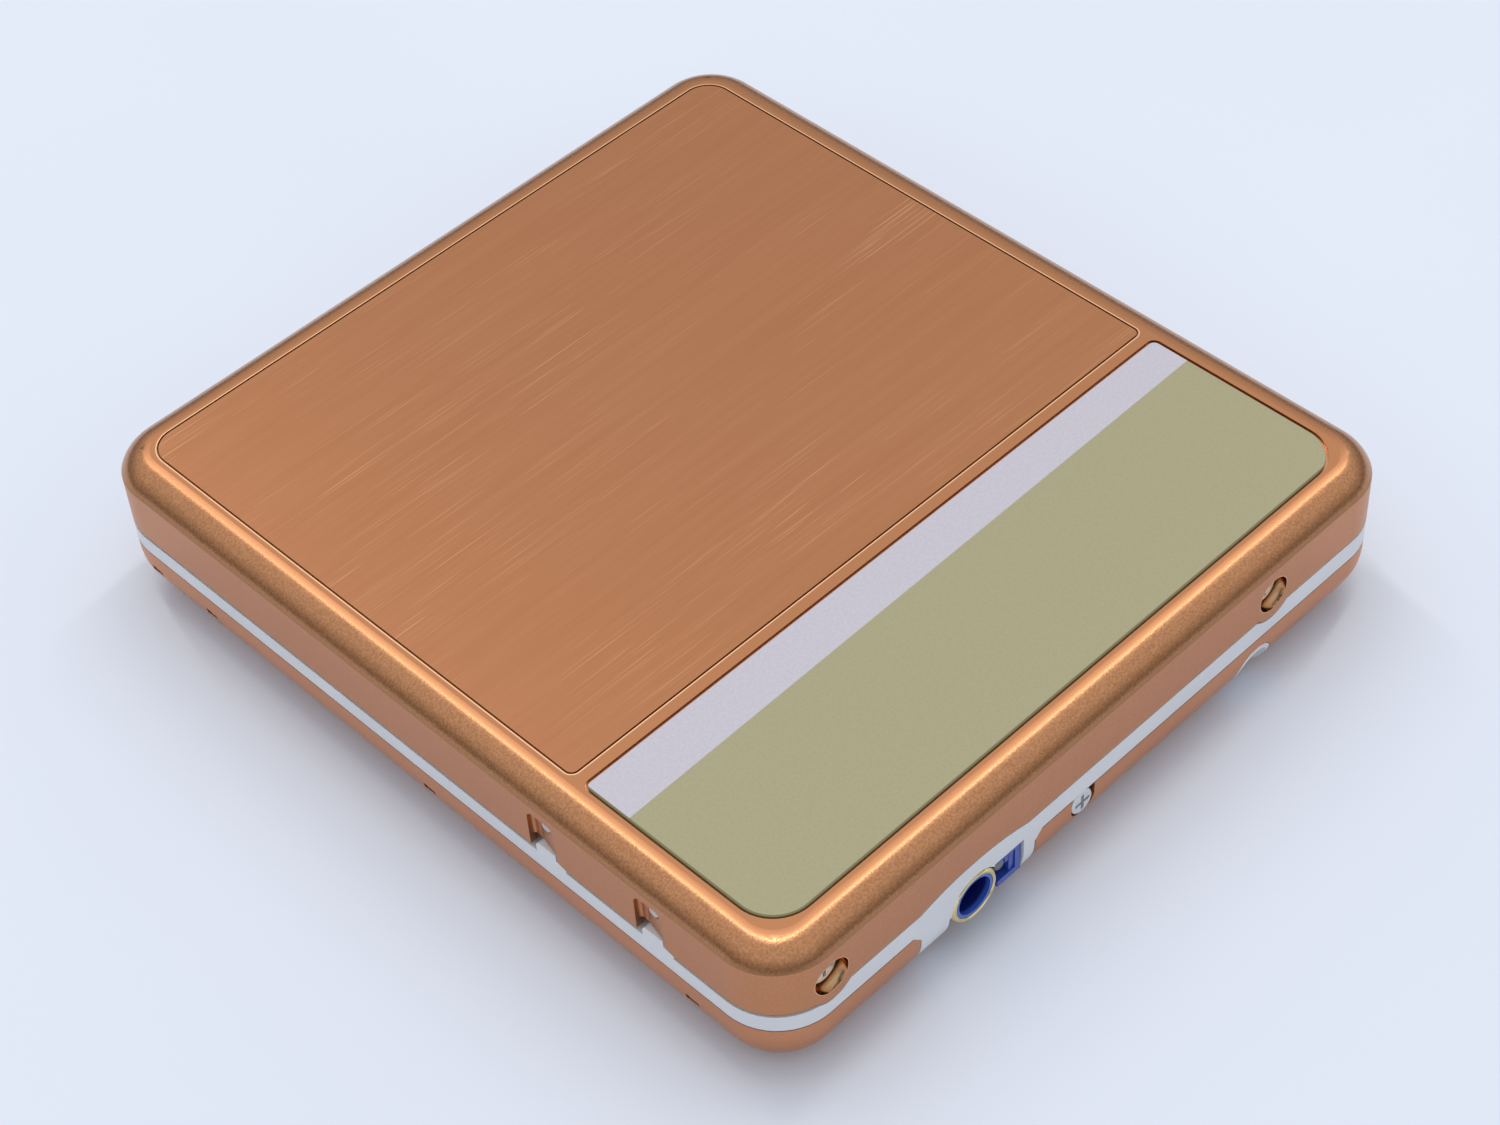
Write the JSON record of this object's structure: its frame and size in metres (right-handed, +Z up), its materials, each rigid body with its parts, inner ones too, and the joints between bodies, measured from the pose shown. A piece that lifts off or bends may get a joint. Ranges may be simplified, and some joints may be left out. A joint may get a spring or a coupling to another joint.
{
  "type": "portable minidisc player",
  "caption": "Pocket minidisc player in copper-coloured metal with a white band, a hinged lid over a tilting disc holder, side keys and a headphone socket",
  "frame": {"origin": "centre of the flat underside, in plan the centre of the body's rounded rectangle", "axes": "+Z up through the lid; +Y towards the side with the headphone socket; +X towards the edge that opens; the hinge is along the -X edge"},
  "size_m": [0.0744, 0.0822, 0.0153],
  "materials": {
    "copper_lid": "brushed along the width on top, satin on the skirt, copper anodised",
    "copper_shell": "fine bead-blasted, copper anodised",
    "white_frame": "fine moulded grain",
    "grey_frame": "fine moulded grain",
    "nameplate_khaki": "satin",
    "screw_steel": "bright nickel plate",
    "spring_steel": "bright nickel plate",
    "gold_ring": "polished gold plate",
    "blue_socket": "moulded, slightly glossy",
    "grey_key": "satin moulded",
    "board_green": "solder resist",
    "chip_black": "moulded epoxy",
    "cable_amber": "polyimide film",
    "battery_wrap": "shrink sleeve",
    "deck_steel": "zinc-plated sheet",
    "motor_can": "drawn can",
    "pickup_black": "die-cast, black coated",
    "lens_glass": "coated, polished",
    "turntable_grey": "moulded"
  },
  "bodies": {
    "base": {"bottom_cover": "copper_shell", "mid_frame": "white_frame", "base_screws": "screw_steel", "side_screw": "screw_steel", "strap_eyelet": "white_frame", "jack_ring": "gold_ring", "jack_body": "blue_socket", "remote_connector": "blue_socket", "remote_pin": "grey_key", "main_board": "board_green", "chips": "chip_black", "motor_cable": "cable_amber", "key_contacts": "board_green", "battery": "battery_wrap", "battery_contact": "spring_steel", "door_pin": "screw_steel", "hinge_pins": "screw_steel", "deck": "deck_steel", "deck_screws": "screw_steel", "locating_pins": "screw_steel", "spindle_motor": "motor_can", "sled_motor": "motor_can", "guide_shafts": "screw_steel"},
    "lid": {"lid_cover": "copper_lid", "nameplate": "nameplate_khaki", "lid_frame": "grey_frame", "lid_screws": "screw_steel"},
    "holder": {"disc_holder": "deck_steel"},
    "turntable": {"turntable": "turntable_grey"},
    "pickup": {"pickup": "pickup_black", "lens": "lens_glass"},
    "lead_screw": {"lead_screw": "screw_steel"},
    "hold_switch": {"hold_switch": "grey_key"},
    "open_slider": {"open_slider": "grey_key", "latch_plate": "deck_steel"},
    "battery_door": {"battery_door": "copper_shell", "door_contact": "spring_steel"},
    "key_stop": {"key_stop": "grey_key"},
    "key_play": {"key_play": "grey_key"},
    "key_skip_back": {"key_skip_back": "grey_key"},
    "key_skip_forward": {"key_skip_forward": "grey_key"},
    "key_volume_down": {"key_volume_down": "grey_key"},
    "key_volume_up": {"key_volume_up": "grey_key"}
  },
  "joints": [
    {"name": "lid_hinge", "type": "hinge", "parent": "base", "child": "lid", "pos_m": [-0.0348, 0, 0.0092], "axis": [0, -1, 0], "range_deg": [0, 38]},
    {"name": "holder_hinge", "type": "hinge", "parent": "base", "child": "holder", "pos_m": [-0.0348, 0, 0.0092], "axis": [0, -1, 0], "range_deg": [0, 21]},
    {"name": "disc_spin", "type": "hinge", "parent": "base", "child": "turntable", "pos_m": [0.0012, 0, 0.0082], "axis": [0, 0, 1], "continuous": true},
    {"name": "pickup_travel", "type": "slide", "parent": "base", "child": "pickup", "axis": [0, 1, 0], "range_m": [0, 0.0156]},
    {"name": "lead_screw_spin", "type": "hinge", "parent": "base", "child": "lead_screw", "pos_m": [-0.0112, 0.02, 0.005], "axis": [0, -1, 0], "range_deg": [0, 2810]},
    {"name": "hold_slide", "type": "slide", "parent": "base", "child": "hold_switch", "axis": [1, 0, 0], "range_m": [0, 0.0018]},
    {"name": "open_slide", "type": "slide", "parent": "base", "child": "open_slider", "axis": [-1, 0, 0], "range_m": [0, 0.002], "stiffness_N_per_m": 200, "springref_m": -0.001},
    {"name": "door_hinge", "type": "hinge", "parent": "base", "child": "battery_door", "pos_m": [-0.0366, -0.01885, 0.006], "axis": [0, 0, -1], "range_deg": [0, 85]},
    {"name": "key_stop_press", "type": "slide", "parent": "base", "child": "key_stop", "axis": [0, 1, 0], "range_m": [0, 0.0004], "stiffness_N_per_m": 700, "springref_m": -0.0003},
    {"name": "key_play_press", "type": "slide", "parent": "base", "child": "key_play", "axis": [0, 1, 0], "range_m": [0, 0.0004], "stiffness_N_per_m": 700, "springref_m": -0.0003},
    {"name": "key_skip_back_press", "type": "slide", "parent": "base", "child": "key_skip_back", "axis": [0, 1, 0], "range_m": [0, 0.0004], "stiffness_N_per_m": 700, "springref_m": -0.0003},
    {"name": "key_skip_forward_press", "type": "slide", "parent": "base", "child": "key_skip_forward", "axis": [0, 1, 0], "range_m": [0, 0.0004], "stiffness_N_per_m": 700, "springref_m": -0.0003},
    {"name": "key_volume_down_press", "type": "slide", "parent": "base", "child": "key_volume_down", "axis": [0, 1, 0], "range_m": [0, 0.0004], "stiffness_N_per_m": 700, "springref_m": -0.0003},
    {"name": "key_volume_up_press", "type": "slide", "parent": "base", "child": "key_volume_up", "axis": [0, 1, 0], "range_m": [0, 0.0004], "stiffness_N_per_m": 700, "springref_m": -0.0003}
  ],
  "couplings": [
    {"joint": "holder_hinge", "follows": "lid_hinge", "ratio": 0.55},
    {"joint": "lead_screw_spin", "follows": "pickup_travel", "rad_per_m": 3141.6}
  ]
}
